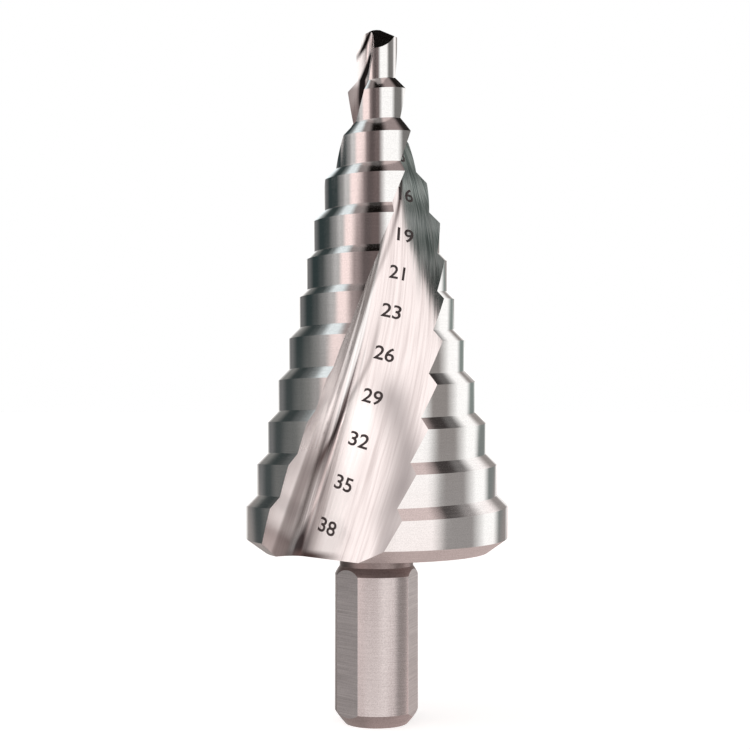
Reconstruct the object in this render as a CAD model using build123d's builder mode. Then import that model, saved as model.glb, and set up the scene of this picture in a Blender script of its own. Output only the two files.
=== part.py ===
from build123d import *
from math import cos, degrees, log, radians, sin, sqrt, tan
import os

# Step drill in high speed steel, right-hand cutting, in millimetres.
# The origin is the centre of the shank's end face, and +Z runs up the axis to the point.
# Azimuths are in degrees from the front (-Y), and grow towards +X.

# Shank
shank_diameter = 12.0
shank_end_chamfer = 1.5
shank_end_chamfer_height = 1.95
shank_length = 22.7
shank_top_chamfer_height = 1.2
chamfer_crown = 0.06
neck_diameter = 10.6
neck_length = 2.05
flat_count = 3
flat_depth = 0.44
first_flat_azimuth = -48.6

# Steps, from the largest to the pilot
step_diameters = [38.0, 35.0, 32.0, 29.0, 26.0, 23.0, 21.0, 19.0, 16.0, 13.0, 9.0, 6.0]
first_land_height = 4.95
land_height = 4.5
pilot_land_height = 6.02
back_chamfer = 2.9
back_chamfer_height = 2.1
point_angle = 130.0

# Relief behind the cutting edges
relief_lead = 30.0
land_relief = 0.2
back_taper = 0.05
bevel_relief = 0.25
bevel_relief_share = 0.023
point_relief = 0.25

# Flutes
flute_count = 2
flute_azimuth = -50.3
helix_angle = 20.05
even_lead_radius = 6.5
rake_angle = 6.0
rake_hollow = 0.05
face_angle = 100.0
first_root_radius = 11.4
root_slope = 0.19
root_floor = 0.6
root_easing = 0.35
root_fillet = 2.2
slim_root_fillet_share = 0.35
flute_overrun = 1.5
flute_spacing = 4.5
flute_clearance = 4.0

# Split point
gash_slope = 49.0
gash_lag = 100.0

axis_z = Axis.Z
step_radii = [diameter / 2 for diameter in step_diameters]
largest_radius = step_radii[0]
pilot_radius = step_radii[-1]
head_foot = shank_length + neck_length
first_corner = head_foot + back_chamfer_height + first_land_height
point_slope = 1 / tan(radians(point_angle / 2))


def step_corners():
    """Heights of the steps' outer corners at the cutting edge, each a land and a 45 degree bevel up."""
    corners = [first_corner]
    for wide, slim in zip(step_radii, step_radii[1:]):
        land = pilot_land_height if slim == pilot_radius else land_height
        corners.append(corners[-1] + (wide - slim) + land)
    return corners


corner_heights = step_corners()
envelope_slope = (largest_radius - step_radii[-2]) / (corner_heights[-2] - first_corner)
point_reach = pilot_radius - point_relief * (1 + cos(radians(relief_lead)))
overall_length = corner_heights[-1] + point_reach * point_slope


def envelope_radius(height):
    """Radius of the cone that the steps' corners follow."""
    return largest_radius - envelope_slope * (height - first_corner)


def edge_azimuth(height):
    """Azimuth of the front flute's cutting edge: a steady helix angle on the cone, then a steady lead."""
    twist = tan(radians(helix_angle))
    even_lead_height = first_corner + (largest_radius - even_lead_radius) / envelope_slope
    cone_height = min(height, even_lead_height)
    turn = twist / envelope_slope * log(largest_radius / envelope_radius(cone_height))
    turn += twist / even_lead_radius * (height - cone_height)
    return flute_azimuth + degrees(turn)


def root_radius(height):
    """Distance of the flute's root from the axis: it falls evenly, then levels off at the pilot's web."""
    even = first_root_radius - root_floor - root_slope * (height - first_corner)
    return root_floor + (even + sqrt(even**2 + 4 * root_easing**2)) / 2


def edge_plane(height, azimuth):
    """Level plane whose x axis points out along an azimuth."""
    turn = radians(azimuth - 90)
    return Plane(origin=(0, 0, height), x_dir=(cos(turn), sin(turn), 0), z_dir=(0, 0, 1))


def relieved_profile_plane(edge, offset):
    """Upright plane on an axis that is moved off centre, ahead of the cutting edge."""
    turn = radians(edge + relief_lead - 90)
    origin = (offset * cos(turn), offset * sin(turn), 0)
    return Plane(origin=origin, x_dir=(cos(turn), sin(turn), 0), z_dir=(sin(turn), -cos(turn), 0))


def land_half(radius, foot, corner, edge, relief, slope):
    """Half a disc behind one cutting edge. Its land and its bevel are turned about axes off centre,
    so that both fall away from the edge towards the heel."""
    lead = cos(radians(relief_lead))
    turned_radius = radius - land_relief * lead
    bevel_radius = radius - relief * lead
    bevel_height = bevel_radius * slope
    land_plane = relieved_profile_plane(edge, land_relief)
    bevel_plane = relieved_profile_plane(edge, relief)
    top = corner + bevel_height
    half_plane = edge_plane(foot, edge + relief_lead)
    with BuildPart() as half:
        with BuildSketch(land_plane):
            with BuildLine():
                Polyline(
                    (0, foot),
                    (turned_radius - back_taper, foot),
                    (turned_radius, corner + land_relief + back_taper),
                    (turned_radius, top),
                    (0, top),
                    close=True,
                )
            make_face()
        revolve(axis=Axis(land_plane.origin, (0, 0, 1)))
        with BuildSketch(bevel_plane):
            skirt = radius / slope + relief
            with BuildLine():
                Polyline(
                    (0, top),
                    (bevel_radius + skirt, corner - skirt * slope),
                    (bevel_radius + skirt, foot - skirt * slope),
                    (0, foot - skirt * slope),
                    close=True,
                )
            make_face()
        revolve(axis=Axis(bevel_plane.origin, (0, 0, 1)), mode=Mode.INTERSECT)
        with BuildSketch(half_plane):
            Rectangle(4 * radius, 4 * radius, align=(Align.CENTER, Align.MAX))
        extrude(amount=top - foot, mode=Mode.INTERSECT)
    return half.part


# Shank: a turned bar with a neck under the head, and three ground flats for the chuck's jaws.
shank_radius = shank_diameter / 2
neck_radius = neck_diameter / 2
with BuildPart() as shank:
    with BuildSketch(Plane.XZ):
        with BuildLine():
            end_face = Line((0, 0), (shank_radius - shank_end_chamfer, 0))
            end_chamfer = SagittaArc(end_face @ 1, (shank_radius, shank_end_chamfer_height), -chamfer_crown)
            bar = Line(end_chamfer @ 1, (shank_radius, shank_length - shank_top_chamfer_height))
            top_chamfer = SagittaArc(bar @ 1, (neck_radius, shank_length), -chamfer_crown)
            Polyline(
                top_chamfer @ 1,
                (neck_radius, head_foot + land_height),
                (0, head_foot + land_height),
                end_face @ 0,
            )
        make_face()
    revolve(axis=axis_z)
    for flat in range(flat_count):
        azimuth = first_flat_azimuth + flat * 360 / flat_count
        with BuildSketch(edge_plane(0, azimuth)):
            with Locations((shank_radius - flat_depth, 0)):
                Rectangle(shank_diameter, shank_diameter, align=(Align.MIN, Align.CENTER))
        extrude(amount=shank_length, mode=Mode.SUBTRACT)

# Head: each step is two relieved half discs, turned on to its place along the flutes.
with BuildPart() as head:
    for step, (radius, corner) in enumerate(zip(step_radii, corner_heights)):
        foot = head_foot if step == 0 else corner_heights[step - 1]
        edge = edge_azimuth(corner)
        is_pilot = step == len(step_radii) - 1
        relief = land_relief + bevel_relief + bevel_relief_share * radius
        if is_pilot:
            relief = point_relief
        slope = point_slope if is_pilot else 1.0
        for flute in range(flute_count):
            side = edge + flute * 360 / flute_count
            add(land_half(radius, foot, corner, side, relief, slope))
    with BuildSketch(Plane.XZ):
        with BuildLine():
            Polyline(
                (largest_radius - back_chamfer, head_foot),
                (largest_radius + back_chamfer, head_foot),
                (largest_radius + back_chamfer, head_foot + 2 * back_chamfer_height),
                close=True,
            )
        make_face()
    revolve(axis=axis_z, mode=Mode.SUBTRACT)

# Flute: a hollow rake face, a rounded root and a broad flat face that runs out to the heel.
flute_foot = head_foot - flute_overrun
flute_top = overall_length + flute_overrun
section_count = round((flute_top - flute_foot) / flute_spacing)
rake = radians(rake_angle)
face = radians(face_angle)
with BuildPart() as flute_cut:
    for section in range(section_count + 1):
        height = flute_foot + section * (flute_top - flute_foot) / section_count
        root = root_radius(height)
        lip_radius = max(envelope_radius(height), pilot_radius)
        depth = (lip_radius - root) / (cos(rake) - sin(rake) / tan(face))
        corner = Vector(lip_radius - depth * cos(rake), -depth * sin(rake))
        lip = Vector(lip_radius, 0)
        hollow = (corner + lip) / 2 + Vector(sin(rake), -cos(rake)) * rake_hollow * depth
        reach = lip_radius + flute_clearance
        run = sqrt(reach**2 - (root * sin(face)) ** 2) - root * cos(face)
        face_end = Vector(root + run * cos(face), run * sin(face))
        with BuildSketch(edge_plane(height, edge_azimuth(height))):
            with BuildLine():
                rake_arc = ThreePointArc(corner, hollow, lip)
                rake_end = Line(lip, lip + (rake_arc % 1) * flute_clearance) @ 1
                crown = (rake_end + face_end).normalized() * reach
                ThreePointArc(rake_end, crown, face_end)
                Line(face_end, corner)
            make_face()
            root_corner = vertices().sort_by_distance(corner)[0]
            fillet(root_corner, min(root_fillet, slim_root_fillet_share * lip_radius))
    loft()

# Gash of the split point: a plane that drops behind each lip towards the heel.
gash_size = 4 * pilot_radius
gash_lean = edge_azimuth(corner_heights[-1]) - gash_lag
gash_turn = radians(gash_lean - 90)
gash_normal = (
    sin(radians(gash_slope)) * cos(gash_turn),
    sin(radians(gash_slope)) * sin(gash_turn),
    cos(radians(gash_slope)),
)
gash_plane = Plane(origin=(0, 0, overall_length), z_dir=gash_normal)
with BuildPart() as gash_cut:
    with BuildSketch(gash_plane):
        Rectangle(gash_size, gash_size)
    extrude(amount=gash_size)

# The drill is one piece of steel, ground all over.
with BuildPart() as step_drill:
    add(head.part)
    add(shank.part)
    for flute in range(flute_count):
        turn = flute * 360 / flute_count
        add(flute_cut.part, rotation=(0, 0, turn), mode=Mode.SUBTRACT)
        add(gash_cut.part, rotation=(0, 0, turn), mode=Mode.SUBTRACT)
step_drill.part.label = "step_drill"

os.makedirs("parts", exist_ok=True)
export_step(step_drill.part, "parts/step_drill.step")
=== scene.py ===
import math
from collections import namedtuple

import bpy
from mathutils import Matrix, Vector


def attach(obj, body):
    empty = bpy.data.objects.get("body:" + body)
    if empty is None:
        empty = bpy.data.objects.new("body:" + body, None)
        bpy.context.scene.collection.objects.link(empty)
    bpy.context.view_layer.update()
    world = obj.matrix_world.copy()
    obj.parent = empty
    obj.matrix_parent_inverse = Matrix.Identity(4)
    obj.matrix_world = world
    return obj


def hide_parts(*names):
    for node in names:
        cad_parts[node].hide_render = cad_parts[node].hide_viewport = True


# A step drill of high speed steel, ground all over, standing on its shank end.
# Lengths are in millimetres until MM turns them into metres. Azimuths are in degrees from the front,
# and grow towards the right.
MM = 0.001

# Shank
SHANK_RADIUS = 6.0
END_CHAMFER = 1.5
END_CHAMFER_HEIGHT = 1.95
SHANK_LENGTH = 22.7
TOP_CHAMFER_HEIGHT = 1.2
CHAMFER_CROWN = 0.06
NECK_RADIUS = 5.3
NECK_LENGTH = 2.05
FLAT_COUNT = 3
FLAT_DEPTH = 0.44
FIRST_FLAT = -48.6

# Steps
STEP_DIAMETERS = (38, 35, 32, 29, 26, 23, 21, 19, 16, 13, 9, 6)
FIRST_LAND_HEIGHT = 4.95
LAND_HEIGHT = 4.5
PILOT_LAND_HEIGHT = 6.02
BACK_CHAMFER = 2.9
BACK_CHAMFER_HEIGHT = 2.1
POINT_ANGLE = 130.0

# Relief behind the cutting edges
RELIEF_LEAD = 30.0
LAND_RELIEF = 0.2
BACK_TAPER = 0.05
BEVEL_RELIEF = 0.25
BEVEL_RELIEF_SHARE = 0.023
POINT_RELIEF = 0.25

# Flutes
FLUTE_AZIMUTH = -50.3
HELIX_ANGLE = 20.05
EVEN_LEAD_RADIUS = 6.5
RAKE_ANGLE = 6.0
RAKE_HOLLOW = 0.05
FACE_ANGLE = 100.0
FIRST_ROOT_RADIUS = 11.4
ROOT_SLOPE = 0.19
ROOT_FLOOR = 0.6
ROOT_EASING = 0.35
ROOT_FILLET = 2.2
SLIM_ROOT_FILLET_SHARE = 0.35
FLUTE_OVERRUN = 1.5
FLUTE_CLEARANCE = 4.0

# Split point
GASH_SLOPE = 49.0
GASH_LAG = 100.0

# Size numbers, laser marked on the flute's broad face, from the largest step on
NUMBER_HEIGHT = 2.05
NUMBER_PLACES = (3.7, 4.1, 4.2, 4.2, 4.1, 3.6, 3.5, 3.5, 3.4, 3.0)
NUMBER_BELOW_CORNER = 2.8
NUMBER_WIDENINGS = (1.3, 1.22, 1.24, 1.12, 1.1, 1.08, 0.98, 1.08, 1.03, 1.0)
NUMBER_LIFT = 0.012
NUMBER_BOLDNESS = 0.04
NUMBER_DEPTH = 0.024
NUMBER_CUTS = 2
DIGIT_SHARE = 0.73

# Fineness of the meshes
COLUMNS = 360
END_CHAMFER_FACETS = 4
TOP_CHAMFER_FACETS = 3
POINT_RINGS = 6
FLUTE_SPACING = 0.4
RAKE_FACETS = 10
FILLET_FACETS = 12
FACE_FACETS = 16
OUTER_FACETS = 10
SMOOTH_ANGLE = 17.0
SAME_POINT = 0.0001

# Map of the flutes: its name, what keeps the back flute's heights apart from the front's on it,
# and how far behind its cutting edge a flute's faces reach, in degrees
FLUTE_MAP = "flute"
BACK_SHIFT = 200.0
BEHIND_EDGE = 60

step_radii = [diameter / 2 for diameter in STEP_DIAMETERS]
pilot_radius = step_radii[-1]
head_foot = SHANK_LENGTH + NECK_LENGTH
point_slope = 1 / math.tan(math.radians(POINT_ANGLE / 2))
corners = [head_foot + BACK_CHAMFER_HEIGHT + FIRST_LAND_HEIGHT]
for wide, slim in zip(step_radii, step_radii[1:]):
    land_height = PILOT_LAND_HEIGHT if slim == pilot_radius else LAND_HEIGHT
    corners.append(corners[-1] + wide - slim + land_height)
envelope_slope = (step_radii[0] - step_radii[-2]) / (corners[-2] - corners[0])
point_reach = pilot_radius - POINT_RELIEF * (1 + math.cos(math.radians(RELIEF_LEAD)))
drill_length = corners[-1] + point_reach * point_slope


def envelope(height):
    """Radius of the cone that the steps' corners follow."""
    return step_radii[0] - envelope_slope * (height - corners[0])


def edge_azimuth(height):
    """Azimuth of the front flute's cutting edge."""
    twist = math.tan(math.radians(HELIX_ANGLE))
    cone_height = min(height, corners[0] + (step_radii[0] - EVEN_LEAD_RADIUS) / envelope_slope)
    turn = twist / envelope_slope * math.log(step_radii[0] / envelope(cone_height))
    turn += twist / EVEN_LEAD_RADIUS * (height - cone_height)
    return FLUTE_AZIMUTH + math.degrees(turn)


def root_radius(height):
    """Distance of the flute's root from the axis."""
    even = FIRST_ROOT_RADIUS - ROOT_FLOOR - ROOT_SLOPE * (height - corners[0])
    return ROOT_FLOOR + (even + math.hypot(even, 2 * ROOT_EASING)) / 2


def outward(azimuth):
    """Level unit vector that points out along an azimuth."""
    return Vector((math.sin(math.radians(azimuth)), -math.cos(math.radians(azimuth)), 0))


def in_edge_frame(along, ahead, height):
    """Place of a point given along the cutting edge's azimuth and ahead of it."""
    out = outward(edge_azimuth(height))
    return along * out + ahead * Vector((-out.y, out.x, 0)) + Vector((0, 0, height))


# Small helpers for modelling


def deselect():
    if bpy.context.mode != "OBJECT":
        bpy.ops.object.mode_set(mode="OBJECT")
    bpy.ops.object.select_all(action="DESELECT")


def activate(piece):
    deselect()
    piece.select_set(True)
    bpy.context.view_layer.objects.active = piece


def edit_all(piece):
    """Opens a piece for editing, with all of it selected."""
    activate(piece)
    bpy.ops.object.mode_set(mode="EDIT")
    bpy.ops.mesh.select_all(action="SELECT")


def new_piece(name, points, edges):
    """A new piece of points joined by edges."""
    mesh = bpy.data.meshes.new(name)
    mesh.from_pydata([p * MM for p in points], edges, [])
    piece = bpy.data.objects.new(name, mesh)
    bpy.context.scene.collection.objects.link(piece)
    return piece


def face_outwards(piece):
    edit_all(piece)
    bpy.ops.mesh.remove_doubles(threshold=SAME_POINT * MM)
    bpy.ops.mesh.normals_make_consistent(inside=False)
    bpy.ops.object.mode_set(mode="OBJECT")


def apply_modifier(piece, kind, **settings):
    """Adds a modifier with its settings, and applies it."""
    activate(piece)
    modifier = piece.modifiers.new(kind.lower(), kind)
    for name, value in settings.items():
        setattr(modifier, name, value)
    bpy.ops.object.modifier_apply(modifier=modifier.name)


def turned_copy(piece, angle):
    activate(piece)
    bpy.ops.object.duplicate()
    copy = bpy.context.object
    copy.data.transform(Matrix.Rotation(math.radians(angle), 4, "Z"))
    return copy


def on_circle(centre, radius, angle):
    return centre + radius * Vector((math.cos(angle), math.sin(angle)))


def arc(centre, radius, start, end, count):
    """Points of an arc from one angle to another, with both ends."""
    return [on_circle(centre, radius, start + (end - start) * n / count) for n in range(count + 1)]


def bearing(point, centre):
    """Angle of the way from a centre to a point."""
    return math.atan2(point.y - centre.y, point.x - centre.x)


def shallow_arc(start, end, sagitta, count):
    """Points of a shallow arc between two points of the lathe's profile, without its start."""
    chord = end - start
    bulge = Vector((chord.z, 0, -chord.x)).normalized() * sagitta
    steps = [n / count for n in range(1, count + 1)]
    return [start + s * chord + 4 * s * (1 - s) * bulge for s in steps]


# The turned blank: the profile is spun round the axis, and the lands are then ground off centre


def profile():
    """Half outline of the turned blank, from the shank's end to the point."""
    end = Vector((SHANK_RADIUS - END_CHAMFER, 0, 0))
    bar_foot = Vector((SHANK_RADIUS, 0, END_CHAMFER_HEIGHT))
    bar_top = Vector((SHANK_RADIUS, 0, SHANK_LENGTH - TOP_CHAMFER_HEIGHT))
    neck = Vector((NECK_RADIUS, 0, SHANK_LENGTH))
    points = [Vector((0, 0, 0)), end]
    points += shallow_arc(end, bar_foot, CHAMFER_CROWN, END_CHAMFER_FACETS)
    points += [bar_top]
    points += shallow_arc(bar_top, neck, CHAMFER_CROWN, TOP_CHAMFER_FACETS)
    points.append(Vector((NECK_RADIUS, 0, head_foot)))
    points.append(Vector((step_radii[0] - BACK_CHAMFER, 0, head_foot)))
    points.append(Vector((step_radii[0], 0, head_foot + BACK_CHAMFER_HEIGHT)))
    for radius, slim, corner in zip(step_radii, step_radii[1:], corners):
        points += [Vector((radius, 0, corner)), Vector((slim, 0, corner + radius - slim))]
    for ring in range(POINT_RINGS + 1):
        share = 1 - ring / POINT_RINGS
        height = corners[-1] + pilot_radius * (1 - share) * point_slope
        points.append(Vector((pilot_radius * share, 0, height)))
    return points


def relief_of(step):
    """How far off centre the axis of a step's bevel, or of the point's cone, is moved."""
    if step == len(step_radii) - 1:
        return POINT_RELIEF
    return LAND_RELIEF + BEVEL_RELIEF + BEVEL_RELIEF_SHARE * step_radii[step]


def behind(azimuth, step):
    """Angle from the direction that the land's axis is moved in, back along the land."""
    lead = edge_azimuth(corners[step]) + RELIEF_LEAD
    return math.radians(-((lead - azimuth) % 180))


def land_radius(step, azimuth, height):
    """Radius of the relieved land, seen from the drill's own axis."""
    foot = head_foot if step == 0 else corners[step - 1]
    top = corners[step] + LAND_RELIEF + BACK_TAPER
    turned = step_radii[step] - LAND_RELIEF * math.cos(math.radians(RELIEF_LEAD))
    turned -= BACK_TAPER * (top - height) / (top - foot)
    angle = behind(azimuth, step)
    return LAND_RELIEF * math.cos(angle) + math.sqrt(turned**2 - (LAND_RELIEF * math.sin(angle)) ** 2)


def bevel_height(step, azimuth, radius):
    """Height of the relieved bevel, or of the point's cone, at a radius."""
    relief = relief_of(step)
    angle = behind(azimuth, step)
    apart = math.sqrt(radius**2 + relief**2 - 2 * radius * relief * math.cos(angle))
    slope = point_slope if step == len(step_radii) - 1 else 1.0
    return corners[step] + (step_radii[step] - relief * math.cos(math.radians(RELIEF_LEAD)) - apart) * slope


def grind_relief(blank):
    """Moves the head's rings off centre, half a ring behind each cutting edge."""
    # For the height of each ring, the step whose land it lies on and the step whose bevel it lies on
    rings = {}
    for step, corner in enumerate(corners):
        rings[round(corner, 3)] = (step, step)
        if step:
            wide = step_radii[step - 1]
            rings[round(corners[step - 1] + wide - step_radii[step], 3)] = (step, step - 1)
    for vert in blank.data.vertices:
        radius, height = vert.co.xy.length / MM, vert.co.z / MM
        azimuth = math.degrees(math.atan2(vert.co.x, -vert.co.y))
        step, bevel = rings.get(round(height, 3), (None, None))
        if step is not None:
            radius = land_radius(step, azimuth, height)
            height = bevel_height(bevel, azimuth, radius)
        elif height > corners[-1]:
            radius *= land_radius(len(step_radii) - 1, azimuth, corners[-1]) / pilot_radius
            height = bevel_height(len(step_radii) - 1, azimuth, radius)
        elif abs(height - head_foot - BACK_CHAMFER_HEIGHT) < 0.001:
            radius = land_radius(0, azimuth, height)
            height -= (step_radii[0] - radius) * BACK_CHAMFER_HEIGHT / BACK_CHAMFER
        vert.co = (outward(azimuth) * radius + Vector((0, 0, height))) * MM


def turn_blank():
    points = profile()
    blank = new_piece("drill", points, [(n, n + 1) for n in range(len(points) - 1)])
    edit_all(blank)
    bpy.ops.mesh.spin(steps=COLUMNS, angle=math.tau, center=(0, 0, 0), axis=(0, 0, 1))
    bpy.ops.object.mode_set(mode="OBJECT")
    face_outwards(blank)
    grind_relief(blank)
    return blank


# The flutes: level sections of the ground flute, bridged up the spiral to make a cutter


class FluteSection:
    """The level section of the front flute at a height. Its x axis points out along the cutting edge.

    The hollow rake face is an arc that runs in from the lip, and a fillet joins it to the broad flat face.
    The corner is the one that the fillet rounds."""

    def __init__(self, height):
        rake, face = math.radians(RAKE_ANGLE), math.radians(FACE_ANGLE)
        self.height = height
        self.root = root_radius(height)
        self.lip_radius = max(envelope(height), pilot_radius)
        self.depth = (self.lip_radius - self.root) / (math.cos(rake) - math.sin(rake) / math.tan(face))
        self.rake_way = Vector((math.cos(rake), math.sin(rake)))
        self.face_way = Vector((math.cos(face), math.sin(face)))
        self.face_side = Vector((self.face_way.y, -self.face_way.x))
        self.corner = Vector((self.lip_radius, 0)) - self.depth * self.rake_way
        self.rake_radius = self.depth / (8 * RAKE_HOLLOW) + RAKE_HOLLOW * self.depth / 2
        rake_side = Vector((-self.rake_way.y, self.rake_way.x))
        chord_middle = self.corner + self.depth / 2 * self.rake_way
        self.rake_centre = chord_middle + rake_side * (self.rake_radius - RAKE_HOLLOW * self.depth)
        self.fillet = min(ROOT_FILLET, SLIM_ROOT_FILLET_SHARE * self.lip_radius)
        line_foot = Vector((self.root, 0)) + self.face_side * self.fillet
        offset = line_foot - self.rake_centre
        half = offset.dot(self.face_way)
        spread = math.sqrt(half**2 - offset.length_squared + (self.rake_radius - self.fillet) ** 2)
        self.fillet_centre = line_foot + self.face_way * (-half - spread)

    def face_run(self, radius):
        """Length of the flat face's line, from the x axis out to a radius."""
        return math.sqrt(radius**2 - (self.root * self.face_way.y) ** 2) - self.root * self.face_way.x

    def outline(self):
        """Points round the cutter: the rake face, the fillet, the flat face, and an arc outside the drill."""
        lip = Vector((self.lip_radius, 0))
        reach = self.lip_radius + FLUTE_CLEARANCE
        tangent = self.rake_centre + (self.fillet_centre - self.rake_centre).normalized() * self.rake_radius
        lip_angle = bearing(lip, self.rake_centre)
        fillet_from = bearing(tangent, self.fillet_centre)
        fillet_to = math.radians(FACE_ANGLE) - math.pi / 2 - math.pi
        if fillet_from > 0:
            fillet_from -= math.tau
        face_start = on_circle(self.fillet_centre, self.fillet, fillet_to)
        face_end = Vector((self.root, 0)) + self.face_way * self.face_run(reach)
        lip_way = Vector((-math.sin(lip_angle), math.cos(lip_angle)))
        rake_end = lip + lip_way * FLUTE_CLEARANCE * (1 if lip_way.x > 0 else -1)
        axis = Vector((0, 0))
        rake_to = bearing(tangent, self.rake_centre)
        points = arc(self.rake_centre, self.rake_radius, lip_angle, rake_to, RAKE_FACETS)
        points += arc(self.fillet_centre, self.fillet, fillet_from, fillet_to, FILLET_FACETS)[1:]
        points += [face_start.lerp(face_end, n / FACE_FACETS) for n in range(1, FACE_FACETS + 1)]
        points += arc(axis, reach, bearing(face_end, axis), bearing(rake_end, axis), OUTER_FACETS)[1:-1]
        points.append(rake_end)
        return [in_edge_frame(p.x, p.y, self.height) for p in points]

    def gap(self, point):
        """How far a point of the section stands off the flute's surface."""
        from_centre = point - self.fillet_centre
        between = self.rake_centre - self.fillet_centre
        if from_centre.dot(Vector((between.y, -between.x))) > 0:
            return self.rake_radius - (point - self.rake_centre).length
        if from_centre.dot(self.face_way) > 0:
            return (point - self.corner).dot(self.face_side)
        return self.fillet - from_centre.length


def make_cutter():
    foot, top = head_foot - FLUTE_OVERRUN, drill_length + FLUTE_OVERRUN
    count = round((top - foot) / FLUTE_SPACING)
    loops = [FluteSection(foot + (top - foot) * n / count).outline() for n in range(count + 1)]
    size = len(loops[0])
    edges = [(size * k + n, size * k + (n + 1) % size) for k in range(count + 1) for n in range(size)]
    cutter = new_piece("flute_cutter", [p for loop in loops for p in loop], edges)
    edit_all(cutter)
    bpy.ops.mesh.bridge_edge_loops()
    bpy.ops.mesh.select_all(action="DESELECT")
    bpy.ops.mesh.select_non_manifold()
    bpy.ops.mesh.edge_face_add()
    bpy.ops.object.mode_set(mode="OBJECT")
    face_outwards(cutter)
    return cutter


# Materials


class Wire:
    """A node's output. A sum on it adds a Math node, and gives that node's output."""

    def __init__(self, shader, socket):
        self.shader = shader
        self.socket = socket

    def __add__(self, other):
        return self.shader.math("ADD", self, other)

    def __sub__(self, other):
        return self.shader.math("SUBTRACT", self, other)

    def __rsub__(self, other):
        return self.shader.math("SUBTRACT", other, self)

    def __mul__(self, other):
        return self.shader.math("MULTIPLY", self, other)

    def __truediv__(self, other):
        return self.shader.math("DIVIDE", self, other)

    __radd__ = __add__


class Shader:
    """Fills a node tree from nothing."""

    def __init__(self, tree):
        self.tree = tree
        tree.nodes.clear()

    def node(self, kind, values=None, out=0, stops=None, **settings):
        """Adds a node: its settings first, then the values or links of its sockets."""
        node = self.tree.nodes.new("ShaderNode" + kind)
        for name, value in settings.items():
            setattr(node, name, value)
        if stops:
            ramp = node.color_ramp
            ramp.elements[1].position = 1.0
            while len(ramp.elements) < len(stops):
                ramp.elements.new(0.5)
            for element, (place, colour) in zip(ramp.elements, stops):
                element.position = place
                element.color = (*colour, 1.0)
        for name, value in (values or {}).items():
            if isinstance(value, Wire):
                self.tree.links.new(value.socket, node.inputs[name])
            else:
                node.inputs[name].default_value = value
        return Wire(self, node.outputs[out]) if node.outputs else None

    def math(self, operation, *values):
        """Adds a Math node."""
        return self.node("Math", dict(enumerate(values)), operation=operation)

    def step(self, value, low, high):
        """Rises smoothly from 0 at low to 1 at high."""
        limits = {"Value": value, "From Min": low, "From Max": high}
        return self.node("MapRange", limits, interpolation_type="SMOOTHSTEP")

    def blend(self, share, first, second):
        """Colour that goes from the first to the second as the share goes from 0 to 1."""
        return self.node("Mix", {0: share, 6: first, 7: second}, out=2, data_type="RGBA")


def rough_grain(shader, place, detail=2.0):
    """Even noise from 0 to 1 about 0.5."""
    return shader.node("TexNoise", {"Vector": place, "Scale": 1.0, "Detail": detail, "Roughness": 0.6})


def combine(shader, x, y, z=0.0):
    return shader.node("CombineXYZ", {0: x, 1: y, 2: z})


def object_place(shader):
    """The three object coordinates, in millimetres."""
    place = shader.node("TexCoord", out=3)
    split = shader.node("SeparateXYZ", {0: place}).socket.node
    return [Wire(shader, socket) / MM for socket in split.outputs]


def tint(shader, value, low, high, dark, light):
    """Colour that goes from dark to light as a value goes from low to high."""
    share = shader.node("MapRange", {"Value": value, "From Min": low, "From Max": high})
    return shader.blend(share, (*dark, 1), (*light, 1))


def new_material(name, look):
    """A new material. The values of its Principled node come from look(shader)."""
    material = bpy.data.materials.new(name)
    material.use_nodes = True
    shader = Shader(material.node_tree)
    shader.node("OutputMaterial", {"Surface": shader.node("BsdfPrincipled", look(shader))})
    return material


def steel(name, finish):
    """A bare steel material. The finish gives its colour, its roughness, and the height of its grain in
    millimetres."""

    def look(shader):
        colour, roughness, height = finish(shader)
        bump = shader.node("Bump", {"Height": height, "Distance": MM, "Strength": 1.0})
        return {"Base Color": colour, "Metallic": 1.0, "Roughness": roughness, "Normal": bump}

    return new_material(name, look)


def turned_lines(shader, pitch, spread):
    """Fine lines round the axis, as a wheel leaves them on a turning bar. They have a pitch, and change
    along their length as many times a millimetre as spread says."""
    x, y, z = object_place(shader)
    return rough_grain(shader, combine(shader, x * spread, y * spread, z / pitch))


def speckle(shader, size):
    x, y, z = object_place(shader)
    return rough_grain(shader, combine(shader, x / size, y / size, z / size), 1.0)


# A surface ground while the bar turned, by the pitch and spread of its lines and the size of its specks. Its
# tone goes from dark to light between two limits, as a mix of lines and specks grows. Its roughness is the
# least one and what the lines add to it. Its relief is the height of the lines and of the specks.
Ground = namedtuple("Ground", "pitch spread speck mix limits dark light roughness relief")

LAND_GROUND = Ground(
    pitch=0.12,
    spread=0.25,
    speck=0.16,
    mix=(0.5, 1.0),
    limits=(0.5, 1.0),
    dark=(0.66, 0.655, 0.65),
    light=(0.77, 0.765, 0.76),
    roughness=(0.05, 0.05),
    relief=(0.0005, 0.0006),
)
BEVEL_GROUND = Ground(
    pitch=0.1,
    spread=0.3,
    speck=0.16,
    mix=(0.5, 1.0),
    limits=(0.5, 1.0),
    dark=(0.62, 0.61, 0.605),
    light=(0.79, 0.78, 0.775),
    roughness=(0.06, 0.06),
    relief=(0.0008, 0.0008),
)
SHANK_GROUND = Ground(
    pitch=0.09,
    spread=0.2,
    speck=0.2,
    mix=(1.0, 1.0),
    limits=(0.7, 1.3),
    dark=(0.48, 0.445, 0.44),
    light=(0.62, 0.575, 0.57),
    roughness=(0.2, 0.08),
    relief=(0.003, 0.002),
)
# The neck and the shank's top chamfer: a brown tint, darkened with painted shade from the head above
SHADED_NECK_GROUND = Ground(
    pitch=0.1,
    spread=0.2,
    speck=0.2,
    mix=(1.0, 1.0),
    limits=(0.7, 1.3),
    dark=(0.24, 0.195, 0.19),
    light=(0.36, 0.3, 0.29),
    roughness=(0.32, 0.1),
    relief=(0.003, 0.001),
)
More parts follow.
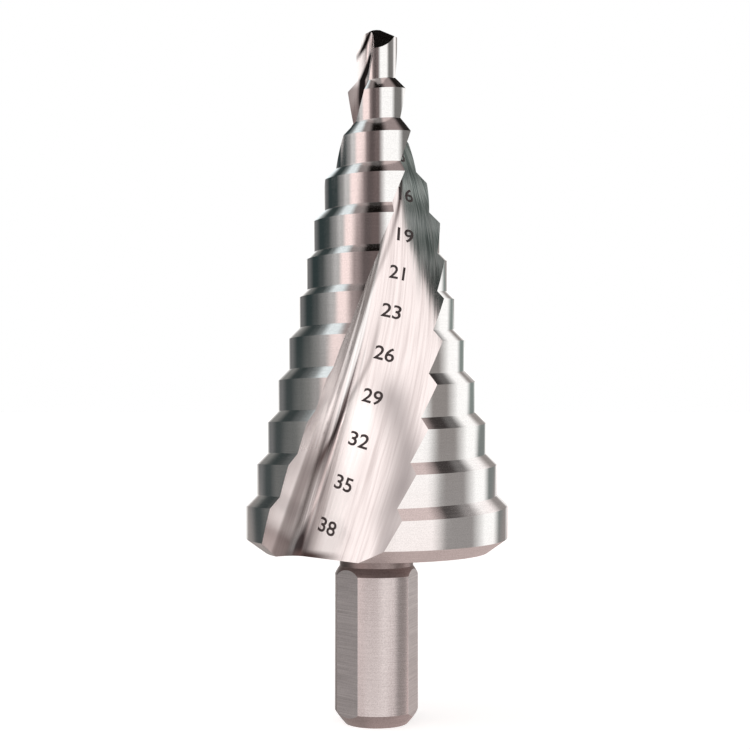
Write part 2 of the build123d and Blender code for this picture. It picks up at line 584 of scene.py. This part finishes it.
FLAT_GROUND = Ground(
    pitch=0.12,
    spread=0.12,
    speck=0.2,
    mix=(1.0, 0.5),
    limits=(0.5, 1.0),
    dark=(0.6, 0.57, 0.565),
    light=(0.86, 0.83, 0.825),
    roughness=(0.34, 0.08),
    relief=(0.004, 0.002),
)
UNDERSIDE_GROUND = Ground(
    pitch=0.1,
    spread=0.3,
    speck=0.2,
    mix=(1.0, 1.0),
    limits=(0.7, 1.3),
    dark=(0.7, 0.69, 0.685),
    light=(0.88, 0.87, 0.865),
    roughness=(0.18, 0.1),
    relief=(0.003, 0.001),
)


def ground_finish(ground):
    """The finish of a surface ground while the bar turned."""

    def finish(shader):
        lines = turned_lines(shader, ground.pitch, ground.spread)
        specks = speckle(shader, ground.speck)
        mix = lines * ground.mix[0] + specks * ground.mix[1]
        colour = tint(shader, mix, *ground.limits, ground.dark, ground.light)
        roughness = ground.roughness[0] + lines * ground.roughness[1]
        return colour, roughness, lines * ground.relief[0] + specks * ground.relief[1]

    return finish


def gash_finish(shader):
    """The gash of the split point: dark as painted shade, with specks only."""
    specks = speckle(shader, 0.12)
    colour = tint(shader, specks, 0.35, 0.65, (0.1, 0.1, 0.095), (0.2, 0.195, 0.19))
    return colour, 0.12 + specks * 0.1, specks * 0.001


# Painted shade: the dark lines where the flute's walls meet
ROOT_SHADE = (0.06, 0.04, 0.038)


class FluteTones:
    """The marks of the wheel that ground the flute, and the painted reflections and painted shade that stand
    for the bands of tone that its walls throw on each other.

    A place on the flute is told by how far across it is, from -1 at the cutting edge, past 0 at the root,
    to 1 at the heel, and by its height in millimetres. Each group of tones is a list, in the order in which
    they are laid on, of how much of a tone there is and the tone."""

    def __init__(self, shader):
        place = shader.node("UVMap", uv_map=FLUTE_MAP)
        split = shader.node("SeparateXYZ", {0: place}).socket.node
        across, along = Wire(shader, split.outputs[0]), Wire(shader, split.outputs[1])
        self.shader = shader
        self.across = across
        self.height = shader.math("MODULO", along, BACK_SHIFT)

        def drawn_out(times_across, times_along, detail=2.0):
            """Noise that changes so often across the flute, and so often a millimetre along it."""
            place = combine(shader, across * times_across, along * times_along)
            return rough_grain(shader, place, detail)

        self.fine = drawn_out(30, 0.07, 3.0)
        self.broad = drawn_out(9, 0.035)
        self.clouds = drawn_out(1.6, 0.09, 1.0)
        self.marks = self.fine * 0.6 + self.broad * 0.4
        self.on_rake = self.to_edge(-0.25, -0.05)
        self.foot = self.below(26.0, 32.0)

    def above(self, low, high):
        """Rises from 0 at a low height to 1 at a high one."""
        return self.shader.step(self.height, low, high)

    def below(self, low, high):
        """Falls from 1 at a low height to 0 at a high one."""
        return 1 - self.above(low, high)

    def between(self, start, full, waning, end):
        """Rises with the height from the start until it is full, and falls from waning to the end."""
        return self.above(start, full) * self.below(waning, end)

    def to_heel(self, low, high):
        """Rises from 0 to 1 across the flute, on the way to the heel."""
        return self.shader.step(self.across, low, high)

    def to_edge(self, low, high):
        """Rises from 0 to 1 across the flute, on the way to the cutting edge."""
        return 1 - self.to_heel(low, high)

    def band(self, middle, reach):
        """A band along the flute: 1 at its middle, and 0 at its reach on both sides."""
        away = self.shader.math("ABSOLUTE", self.across - middle)
        return 1 - self.shader.step(away, 0.0, reach)

    def rake_tones(self):
        """Painted reflections on the rake face: a painted highlight along the rim by the cutting edge, and
        inside it painted shade on the low part, with a darker painted streak.
        """
        rim = self.to_edge(-0.58, -0.46)
        bright = self.shader.math("MAXIMUM", rim, self.on_rake * self.above(36.0, 46.0))
        shaded_low = self.on_rake * (1 - rim) * self.below(34.0, 44.0)
        streak = self.band(-0.38 - (self.broad - 0.5) * 0.3, 0.24)
        streak = streak * self.between(27.0, 30.5, 38.0, 46.0) * (1 - rim)
        return [
            (bright * 0.8, (0.97, 0.95, 0.945)),
            (shaded_low * 0.7, (0.4, 0.365, 0.36)),
            (streak * 0.6, (0.24, 0.205, 0.2)),
        ]

    def root_tones(self):
        """Painted shade and light by the root. Low down, painted shade on the rake side of the root, a
        painted lighter strip past it and a line of painted shade. Higher up, a second line of painted shade,
        and then a thin thread of it."""
        rake_side = self.band(-0.11 - (self.fine - 0.5) * 0.1, self.above(33.0, 37.0) * 0.08 + 0.15)
        rake_side = rake_side * self.between(25.5, 29.5, 38.0, 47.0)
        lit_strip = self.to_heel(0.02, 0.12) * self.to_edge(0.3, 0.5) * self.below(44.0, 50.0)
        low_root_shade = self.band(self.above(26.0, 34.0) * 0.11 - 0.02, self.foot * 0.2 + 0.04)
        low_root_shade = low_root_shade * (0.4 + self.foot * 0.75) * (1 - self.above(35.0, 39.0) * 0.8)
        high_middle = self.above(37.5, 43.0) * 0.12 + self.above(42.0, 54.0) * 0.19 - 0.08
        high_root_shade = self.band(high_middle, 0.13 - self.above(38.0, 43.0) * 0.08)
        high_root_shade = high_root_shade * self.between(35.0, 39.0, 54.0, 62.0) * (0.9 - self.above(42.0, 48.0) * 0.5)
        thread = self.band((self.height - 61.1) * 0.0265, 0.065) * self.between(60.0, 64.0, 78.0, 80.0)
        return [
            (rake_side * 0.9, (0.17, 0.145, 0.14)),
            (lit_strip * 0.85, (0.99, 0.97, 0.965)),
            (low_root_shade * self.below(40.0, 44.0), (0.045, 0.036, 0.036)),
            (high_root_shade, ROOT_SHADE),
            (thread * (0.4 + self.above(70.0, 75.0) * 0.55), ROOT_SHADE),
        ]

    def point_tones(self):
        """Painted shade on the rake face below the pilot, and two black bands of painted shadow that slant
        across the pilot's flute.
        """
        below_pilot = self.between(81.0, 86.0, 91.5, 93.5) * self.on_rake
        first_middle = (self.shader.math("MAXIMUM", self.height, 92.9) - 96.3) * 0.125
        first = self.band(first_middle, 0.25) * self.between(86.5, 91.0, 95.8, 97.2)
        second = self.band((self.height - 100.0) * 0.2, 0.24) * self.above(94.5, 98.0)
        return [
            (below_pilot, (0.3, 0.265, 0.26)),
            (first * 1.6 + second * 1.3, (0.012, 0.01, 0.01)),
        ]

    def heel_tones(self):
        """Painted shade: a cloudy shade by the heel and its dark lowest corner, and painted shadow in the
        flute's mouth under the head. Higher up by the heel, a darker tone along the strongest marks."""
        shade = self.band(0.9 - self.above(36.0, 50.0) * 0.4 + self.foot * 0.04, 0.3 - self.foot * 0.14)
        shade = shade * self.below(46.0, 52.0) * (self.clouds * 1.2 + 0.1)
        corner = self.to_heel(0.84, 0.97) * self.foot
        mouth = self.band(0.15, 0.5) * self.below(25.0, 26.0)
        grain = self.above(58.0, 70.0) * self.to_heel(0.45, 0.7) * self.shader.step(self.marks, 0.5, 0.6)
        return [
            (shade, (0.3, 0.285, 0.285)),
            (corner * 0.5, (0.34, 0.32, 0.32)),
            (mouth, (0.12, 0.085, 0.08)),
            (grain * 0.75, (0.16, 0.18, 0.17)),
        ]


def flute_finish(shader):
    """Drawn-out marks that follow the flute's spiral, with painted reflections and painted shade laid over
    them. The steel is rougher on the rake face, and low down also on the flat face's half by the root."""
    flute = FluteTones(shader)
    colour = tint(shader, flute.marks, 0.36, 0.56, (0.6, 0.565, 0.56), (0.8, 0.775, 0.77))
    tones = flute.rake_tones() + flute.root_tones() + flute.point_tones() + flute.heel_tones()
    for share, tone in tones:
        colour = shader.blend(share, colour, (*tone, 1))
    worn = flute.to_edge(0.35, 0.55) * flute.below(36.0, 44.0)
    roughness = 0.07 + flute.marks * 0.08 + flute.on_rake * 0.1 + worn * 0.13
    return colour, roughness, flute.fine * (0.022 - flute.on_rake * 0.012) + flute.broad * 0.02


# The steels, in the order of the numbers that stand for them
LAND, BEVEL, FLUTE, SHANK, NECK, FLAT, UNDERSIDE, GASH = range(8)
FINISHES = {
    "land": ground_finish(LAND_GROUND),
    "bevel": ground_finish(BEVEL_GROUND),
    "flute": flute_finish,
    "shank": ground_finish(SHANK_GROUND),
    "neck": ground_finish(SHADED_NECK_GROUND),
    "flat": ground_finish(FLAT_GROUND),
    "underside": ground_finish(UNDERSIDE_GROUND),
    "gash": gash_finish,
}


def make_steels():
    return [steel(name + "_steel", finish) for name, finish in FINISHES.items()]


def give_steels(piece, steels, finish):
    """Gives a piece all the steels, and each face the one that finish names for its middle and normal."""
    for material in steels:
        piece.data.materials.append(material)
    for face in piece.data.polygons:
        face.material_index = finish(face.center / MM, face.normal)


def blank_finish(middle, normal):
    """The steel of a face of the turned blank, by its height and by how far up it faces."""
    if middle.z < SHANK_LENGTH - TOP_CHAMFER_HEIGHT:
        return SHANK
    # The neck and top chamfer take the darker steel, whose tone holds painted shade from the head above
    if middle.z < head_foot - 0.01:
        return NECK
    if middle.z < head_foot + BACK_CHAMFER_HEIGHT and normal.z < 0.1:
        return UNDERSIDE
    return BEVEL if normal.z > 0.3 else LAND


# Cutting the drill out of its blank


def cut(piece, tool):
    """Cuts a tool's shape out of a piece, and takes the tool away."""
    apply_modifier(piece, "BOOLEAN", operation="DIFFERENCE", solver="EXACT", object=tool)
    bpy.data.objects.remove(tool)


def grind_flats(drill, steels):
    for n in range(FLAT_COUNT):
        azimuth = FIRST_FLAT + n * 360 / FLAT_COUNT
        middle = outward(azimuth) * (2 * SHANK_RADIUS - FLAT_DEPTH) + Vector((0, 0, SHANK_LENGTH / 2))
        deselect()
        bpy.ops.mesh.primitive_cube_add(size=1)
        block = bpy.context.object
        size = Vector((2 * SHANK_RADIUS, 2 * SHANK_RADIUS, SHANK_LENGTH + 2)) * MM
        place = Matrix.Translation(middle * MM) @ Matrix.Rotation(math.radians(azimuth), 4, "Z")
        block.data.transform(place @ Matrix.Diagonal((*size, 1)))
        give_steels(block, steels, lambda middle, normal: FLAT)
        cut(drill, block)


def split_point(drill):
    """Two gashes, each a plane that drops behind a lip."""
    lean = edge_azimuth(corners[-1]) - GASH_LAG
    slope = math.radians(GASH_SLOPE)
    for azimuth in (lean, lean + 180):
        edit_all(drill)
        normal = outward(azimuth) * math.sin(slope) + Vector((0, 0, math.cos(slope)))
        bpy.ops.mesh.bisect(
            plane_co=(0, 0, drill_length * MM),
            plane_no=normal,
            use_fill=True,
            clear_outer=True,
            threshold=SAME_POINT * MM,
        )
        bpy.ops.object.mode_set(mode="OBJECT")
        for face in drill.data.polygons:
            if face.normal.dot(normal) > 0.9999 and face.center.z > corners[-2] * MM:
                face.material_index = GASH


def flute_side(face):
    """The flute that a face lies in: 0 at the front, 1 at the back."""
    turn = math.degrees(math.atan2(face.center.x, -face.center.y)) - edge_azimuth(face.center.z / MM)
    return 0 if (turn + BEHIND_EDGE) % 360 < 180 else 1


def in_section(point, side):
    """A point seen along a flute's cutting edge, in the level section at its height."""
    out = outward(edge_azimuth(point.z) + side * 180)
    return Vector((point.x * out.x + point.y * out.y, point.y * out.x - point.x * out.y))


def flute_place(point, side):
    """Place on the map of the flutes: how far across, from -1 at the cutting edge, past 0 at the root, to
    1 at the heel; and the height."""
    section = FluteSection(point.z)
    from_corner = in_section(point, side) - section.corner
    to_heel = max(from_corner.dot(section.face_way), 0) / section.face_run(section.lip_radius)
    to_edge = max(from_corner.dot(section.rake_way), 0) / section.depth
    return to_heel - to_edge, point.z + side * BACK_SHIFT


def flute_gap(point, side):
    """How far a point stands off a flute's surface."""
    return FluteSection(point.z).gap(in_section(point, side))


def flute_normal(point, side):
    """The true normal of the flute's surface at a point on it."""
    pace = 0.01
    here = flute_gap(point, side)
    return Vector([flute_gap(point + pace * way, side) - here for way in Matrix.Identity(3)]).normalized()


def finish_flutes(drill):
    """Lays a map on the flutes, and gives them the normals of the true surface."""
    bpy.context.view_layer.objects.active = drill
    bpy.ops.object.shade_smooth_by_angle(angle=math.radians(SMOOTH_ANGLE))
    mesh = drill.data
    normals = [Vector(corner.vector) for corner in mesh.corner_normals]
    mesh.uv_layers.new(name=FLUTE_MAP)
    places = mesh.uv_layers[FLUTE_MAP].data
    known = {}
    for face in mesh.polygons:
        if face.material_index != FLUTE:
            continue
        side = flute_side(face)
        for loop in face.loop_indices:
            number = mesh.loops[loop].vertex_index
            if (number, side) not in known:
                point = mesh.vertices[number].co / MM
                known[number, side] = (flute_place(point, side), flute_normal(point, side))
            places[loop].uv, normals[loop] = known[number, side]
    mesh.normals_split_custom_set(normals)


def make_drill(steels):
    drill = turn_blank()
    give_steels(drill, steels, blank_finish)
    grind_flats(drill, steels)
    cutter = make_cutter()
    give_steels(cutter, steels, lambda middle, normal: FLUTE)
    back_cutter = turned_copy(cutter, 180)
    cut(drill, cutter)
    cut(drill, back_cutter)
    split_point(drill)
    face_outwards(drill)
    finish_flutes(drill)
    return drill


# Size numbers


def number_stand(corner, from_root, widening):
    """Where a size number stands below a step's corner, off the flat face: the matrix of its axes to the
    right, up and out of the face, and of its middle."""
    height = corner - NUMBER_BELOW_CORNER
    face = math.radians(FACE_ANGLE)
    pace = 0.5

    def place(along, level):
        return in_edge_frame(root_radius(level) + along * math.cos(face), along * math.sin(face), level)

    up = (place(from_root, height + pace) - place(from_root, height - pace)).normalized()
    right = (place(from_root + pace, height) - place(from_root - pace, height)).normalized()
    out = right.cross(up).normalized()
    turn = Matrix((up.cross(out) * widening, up, out)).transposed().to_4x4()
    return Matrix.Translation((place(from_root, height) + out) * MM) @ turn


def write_number(diameter, stand):
    """A flat size number, finely cut up so that it can bend."""
    deselect()
    bpy.ops.object.text_add()
    text = bpy.context.object
    text.data.body = str(diameter)
    text.data.align_x = "CENTER"
    text.data.align_y = "CENTER"
    text.data.size = NUMBER_HEIGHT / DIGIT_SHARE * MM
    text.data.offset = NUMBER_BOLDNESS * MM
    bpy.ops.object.convert(target="MESH")
    number = bpy.context.object
    number.data.transform(stand)
    edit_all(number)
    bpy.ops.mesh.subdivide(number_cuts=NUMBER_CUTS)
    bpy.ops.object.mode_set(mode="OBJECT")
    return number


def lay_on(number, drill):
    """Bends a flat number on to the flute, and gives it a thickness."""
    apply_modifier(
        number,
        "SHRINKWRAP",
        target=drill,
        wrap_method="NEAREST_SURFACEPOINT",
        wrap_mode="ABOVE_SURFACE",
        offset=NUMBER_LIFT * MM,
    )
    apply_modifier(number, "SOLIDIFY", thickness=NUMBER_DEPTH * MM, offset=-1)


def make_numbers(drill):
    """All the size numbers, joined into one piece."""
    numbers = []
    for diameter, *stand in zip(STEP_DIAMETERS, corners, NUMBER_PLACES, NUMBER_WIDENINGS):
        number = write_number(diameter, number_stand(*stand))
        lay_on(number, drill)
        numbers.append(number)
    deselect()
    for number in numbers:
        number.select_set(True)
    bpy.context.view_layer.objects.active = numbers[0]
    bpy.ops.object.join()
    piece = bpy.context.object
    piece.name = piece.data.name = "size_numbers"
    mark = {"Base Color": (0.03, 0.02, 0.02, 1), "Roughness": 0.5}
    piece.data.materials.append(new_material("laser_mark", lambda shader: mark))
    return piece


# Studio

# The camera looks level at the drill. Its focal length and the picture's side are in pixels.
CAMERA_PLACE = Vector((-0.217, -240.0, 50.14))
CAMERA_FOCUS = 1661.0
IMAGE_SIDE = 750
SENSOR = 36.0
NEAREST_SEEN = 10.0

# The floor shows in no reflection and casts no shadow
FLOOR_RADIUS = 2000.0
FLOOR_CORNERS = 96
FLOOR_GLOW = 0.6

# Tones of the studio's panels, from the brightest down. Those above 1 are brighter than the white that the
# camera sees behind the drill.
WHITE = (1.36, 1.34, 1.32)
PINK_WHITE = (1.33, 1.08, 1.04)
SOFT_WHITE = (1.3, 1.19, 1.165)
COOL_WHITE = (1.05, 1.13, 1.15)
BLUSH = (0.9, 0.735, 0.71)
WARM_GREY = (0.58, 0.465, 0.445)
GREY = (0.36, 0.33, 0.315)
PALE_STONE = (0.34, 0.31, 0.3)
GREEN_GREY = (0.28, 0.32, 0.3)
SLATE = (0.26, 0.26, 0.25)
TAUPE = (0.26, 0.235, 0.23)
STONE = (0.25, 0.24, 0.23)
DULL_GREY = (0.2, 0.2, 0.2)
BROWN_GREY = (0.18, 0.135, 0.13)
DEEP_GREEN = (0.12, 0.145, 0.135)
DARK_SLATE = (0.045, 0.06, 0.06)
DARK_GREEN = (0.04, 0.056, 0.057)
BLACK = (0.008, 0.006, 0.005)

# The studio's panels. Each goes from one azimuth to another, both of them halfway between the direction to
# the panel and the direction to the camera. These are the rows that the lands show near the shank, and
# near the point.
LOW_LANDS = (
    (-90, -81, WHITE),
    (-75, -70, DULL_GREY),
    (-64, -60, (0.08, 0.092, 0.092)),
    (-54.5, -45, (0.2, 0.2, 0.195)),
    (-33, 24, SOFT_WHITE),
    (31, 45, (0.4, 0.375, 0.365)),
    (54, 61, WHITE),
    (67, 77, (0.25, 0.27, 0.26)),
    (83, 90, WHITE),
)
HIGH_LANDS = (
    (-90, -81, WHITE),
    (-75, -70, DULL_GREY),
    (-62, -56, DARK_GREEN),
    (-50, -48, (0.05, 0.065, 0.065)),
    (-41, -40, (0.36, 0.355, 0.35)),
    (-35.5, -32, (0.8, 0.77, 0.76)),
    (-27.5, -18.5, PINK_WHITE),
    (-14, -13, (0.3, 0.235, 0.23)),
    (-9, -5, (0.14, 0.108, 0.105)),
    (-2, 1.5, (0.22, 0.17, 0.165)),
    (8.5, 27, WHITE),
    (34.5, 50, STONE),
    (57, 66, WHITE),
    (72, 76, GREEN_GREY),
    (84, 90, WHITE),
)

# All the rows of panels, by the tilt of their middle. The tilt too is halfway to the camera's direction.
PANEL_ROWS = (
    (-48, ((-90, -70, GREY), (-45, -20, (0.44, 0.36, 0.34)), (-5, 60, WARM_GREY), (75, 90, WARM_GREY))),
    (
        -23,
        (
            (-90, -82, WHITE),
            (-75, -40, TAUPE),
            (-20, 20, (0.3, 0.25, 0.24)),
            (30, 62, (0.54, 0.44, 0.42)),
            (70, 90, WARM_GREY),
        ),
    ),
    (
        -15,
        (
            (-90, -82, WHITE),
            (-75, -68, GREY),
            (-62, -50, TAUPE),
            (-30, -12, BLUSH),
            (-2, 41, (0.26, 0.22, 0.21)),
            (49, 57, PINK_WHITE),
            (62, 76, PALE_STONE),
            (84, 90, WHITE),
        ),
    ),
    (
        -10,
        (
            (-90, -82, WHITE),
            (-75, -68, GREY),
            (-62, -50, (0.2, 0.19, 0.19)),
            (-30, -19, (0.4, 0.34, 0.33)),
            (-14, 12, WHITE),
            (19, 28, (0.32, 0.28, 0.27)),
            (36, 42, (0.7, 0.6, 0.58)),
            (48, 58, PINK_WHITE),
            (66, 76, PALE_STONE),
            (84, 90, WHITE),
        ),
    ),
    (-5.4, LOW_LANDS),
    (-4, LOW_LANDS),
    (
        -1,
        (
            (-90, -81, WHITE),
            (-75, -70, DULL_GREY),
            (-63, -58, (0.07, 0.082, 0.082)),
            (-50, -48, (0.18, 0.185, 0.18)),
            (-43, -42, SLATE),
            (-37, -35, (0.42, 0.4, 0.39)),
            (-31, -23, (1.05, 0.87, 0.84)),
            (-15, 1, (0.24, 0.2, 0.19)),
            (9, 27, WHITE),
            (34, 44, GREY),
            (54, 64, WHITE),
            (70, 76, GREEN_GREY),
            (82, 90, WHITE),
        ),
    ),
    (
        1.5,
        (
            (-90, -81, WHITE),
            (-75, -70, DULL_GREY),
            (-62, -56, DARK_GREEN),
            (-51, -49, (0.09, 0.1, 0.1)),
            (-41, -40, (0.33, 0.325, 0.32)),
            (-35, -32, (0.62, 0.6, 0.59)),
            (-28.5, -23.5, PINK_WHITE),
            (-18.5, -16, (0.42, 0.335, 0.325)),
            (-10.5, -7, (0.15, 0.118, 0.115)),
            (-4, 1, BROWN_GREY),
            (8.5, 27, WHITE),
            (34, 44, GREY),
            (54, 64, WHITE),
            (70, 76, GREEN_GREY),
            (82, 90, WHITE),
        ),
    ),
    (4.5, HIGH_LANDS),
    (5.9, HIGH_LANDS),
    (
        6.5,
        (
            (-90, -80, WHITE),
            (-74, -70, DULL_GREY),
            (-62, -58, DARK_GREEN),
            (-52, 27, SOFT_WHITE),
            (34.5, 50, STONE),
            (57, 66, WHITE),
            (74, 90, GREY),
        ),
    ),
    (18, ((-90, -80, WHITE), (-72, -62, DULL_GREY), (-50, 62, SOFT_WHITE), (70, 78, GREY), (84, 90, WHITE))),
    (30, ((-90, -82, WHITE), (-76, -58, GREY), (-45, 60, SOFT_WHITE), (70, 78, GREY), (84, 90, WHITE))),
    (
        36,
        (
            (-90, -85, WHITE),
            (-75, -70, SLATE),
            (-64, -58, (0.06, 0.07, 0.07)),
            (-50, -48, GREY),
            (-40, 60, SOFT_WHITE),
            (70, 78, GREY),
            (84, 90, WHITE),
        ),
    ),
    (
        42,
        (
            (-90, -85, WHITE),
            (-73, -68, SLATE),
            (-61, -54, (0.05, 0.062, 0.062)),
            (-48.5, -47.5, (0.15, 0.16, 0.16)),
            (-42, -41, (0.32, 0.34, 0.34)),
            (-36, -29, COOL_WHITE),
            (-22.5, -21, WARM_GREY),
            (-17, -15, (0.4, 0.33, 0.32)),
            (-10, 2, BLACK),
            (8, 23, BLUSH),
            (31, 38, (0.06, 0.052, 0.05)),
            (42, 46, (0.2, 0.19, 0.185)),
            (53, 62, WHITE),
            (68, 72, GREY),
            (80, 90, WHITE),
        ),
    ),
    (
        48,
        (
            (-90, -76, WHITE),
            (-68, -65, SLATE),
            (-57, -48, DARK_SLATE),
            (-43.5, -42.5, (0.24, 0.26, 0.26)),
            (-36, -29, COOL_WHITE),
            (-24, -17, (0.36, 0.31, 0.3)),
            (-11, 1, BLACK),
            (9, 25, (0.42, 0.34, 0.33)),
            (34, 44, (0.04, 0.035, 0.033)),
            (54, 60, WHITE),
            (67, 72, GREY),
            (80, 90, WHITE),
        ),
    ),
    (
        53,
        (
            (-90, -67, (1.0, 1.08, 1.1)),
            (-56, -47, DARK_SLATE),
            (-42, -41, (0.3, 0.33, 0.33)),
            (-36, -28, COOL_WHITE),
            (-23, -17, (0.26, 0.22, 0.21)),
            (-12, 0, BLACK),
            (9, 25, (0.38, 0.31, 0.3)),
            (33, 70, BLACK),
            (84, 90, WHITE),
        ),
    ),
)

# A dark card in front of the upper rows, with a slanting lower edge
CARD = (
    (-18, 7, (0.05, 0.062, 0.057)),
    (11, 12, (0.26, 0.28, 0.27)),
    (15, 18, DEEP_GREEN),
    (22, 23, (0.34, 0.37, 0.36)),
    (27, 30, DEEP_GREEN),
    (34, 36, (0.42, 0.47, 0.45)),
    (40, 42, DEEP_GREEN),
    (47, 50, (0.3, 0.34, 0.32)),
    (56, 66, DEEP_GREEN),
)
# The card's lower edge has a tilt in the middle, a slant, a least tilt and a softness. Its top and its right
# side fade from one limit to the next, and its left side comes in between them.
CARD_EDGE = 24.2
CARD_SLANT = 0.25
CARD_FOOT = 19.2
CARD_TOP = (34.0, 36.0)
CARD_LEFT = (-20, -16)
CARD_RIGHT = (66, 70)
CARD_SOFTNESS = 0.8

# The tones in the ramps are divided by this, and their light is multiplied by it again
PANEL_SCALE = 1.4


def panel_row(shader, across, panels):
    """The light of a row of panels, by the azimuth. Between two panels it goes evenly from one to the
    other."""
    stops = []
    for start, end, colour in panels:
        shade = tuple(channel / PANEL_SCALE for channel in colour)
        stops += [((start + 90) / 180, shade), ((end + 90) / 180, shade)]
    return shader.node("ValToRGB", {0: (across + 90) / 180}, stops=stops)


def studio_light(shader):
    """The light of the studio, as a reflecting surface shows it."""
    direction = shader.node("TexCoord", out=0)
    parts = shader.node("SeparateXYZ", {0: direction}).socket.node
    x, y, z = (Wire(shader, socket) for socket in parts.outputs)
    front = 1 - y
    across = shader.math("ARCTAN2", x, front) * math.degrees(1)
    tilt = shader.math("ARCTAN2", z, shader.math("SQRT", x * x + front * front)) * math.degrees(1)
    light = panel_row(shader, across, PANEL_ROWS[0][1])
    for (low, _), (high, panels) in zip(PANEL_ROWS, PANEL_ROWS[1:]):
        light = shader.blend(shader.step(tilt, low, high), light, panel_row(shader, across, panels))
    edge = shader.math("MAXIMUM", CARD_EDGE - across * CARD_SLANT, CARD_FOOT)
    on_card = shader.step(tilt - edge, -CARD_SOFTNESS, CARD_SOFTNESS)
    on_card = on_card * (1 - shader.step(tilt, *CARD_TOP))
    on_card = on_card * shader.step(across, *CARD_LEFT) * (1 - shader.step(across, *CARD_RIGHT))
    return shader.blend(on_card, light, panel_row(shader, across, CARD))


def make_studio():
    """The studio lights the drill, and the camera sees plain white behind it."""
    world = bpy.data.worlds.new("studio")
    world.use_nodes = True
    bpy.context.scene.world = world
    shader = Shader(world.node_tree)
    studio = shader.node("Background", {0: studio_light(shader), 1: PANEL_SCALE})
    plain = shader.node("Background", {0: (1, 1, 1, 1), 1: 1.0})
    seen = shader.node("LightPath", out=0)
    shader.node("OutputWorld", {0: shader.node("MixShader", {0: seen, 1: studio, 2: plain})})


def make_floor():
    deselect()
    bpy.ops.mesh.primitive_circle_add(vertices=FLOOR_CORNERS, radius=FLOOR_RADIUS * MM, fill_type="NGON")
    floor = bpy.context.object
    floor.name = "floor"
    floor.visible_glossy = False
    floor.visible_shadow = False
    pale = {
        "Base Color": (0.8, 0.8, 0.8, 1),
        "Roughness": 0.9,
        "Emission Color": (1, 1, 1, 1),
        "Emission Strength": FLOOR_GLOW,
    }
    floor.data.materials.append(new_material("pale_floor", lambda shader: pale))


def make_camera():
    deselect()
    bpy.ops.object.camera_add(location=CAMERA_PLACE * MM, rotation=(math.pi / 2, 0, 0))
    camera = bpy.context.object
    camera.data.sensor_width = SENSOR
    camera.data.lens = CAMERA_FOCUS * SENSOR / IMAGE_SIDE
    camera.data.clip_start = NEAREST_SEEN * MM
    bpy.context.scene.camera = camera
    bpy.context.scene.view_settings.view_transform = "Standard"


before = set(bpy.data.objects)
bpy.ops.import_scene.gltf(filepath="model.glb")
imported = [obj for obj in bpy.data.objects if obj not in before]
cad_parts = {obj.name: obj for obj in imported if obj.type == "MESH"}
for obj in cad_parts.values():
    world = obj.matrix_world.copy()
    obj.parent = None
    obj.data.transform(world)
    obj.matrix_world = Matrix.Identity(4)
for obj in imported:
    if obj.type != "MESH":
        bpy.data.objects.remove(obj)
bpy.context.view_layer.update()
make_camera()
make_studio()
make_floor()
steels = make_steels()
drill = make_drill(steels)
numbers = make_numbers(drill)
for piece in (drill, numbers):
    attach(piece, "root")
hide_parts("step_drill")
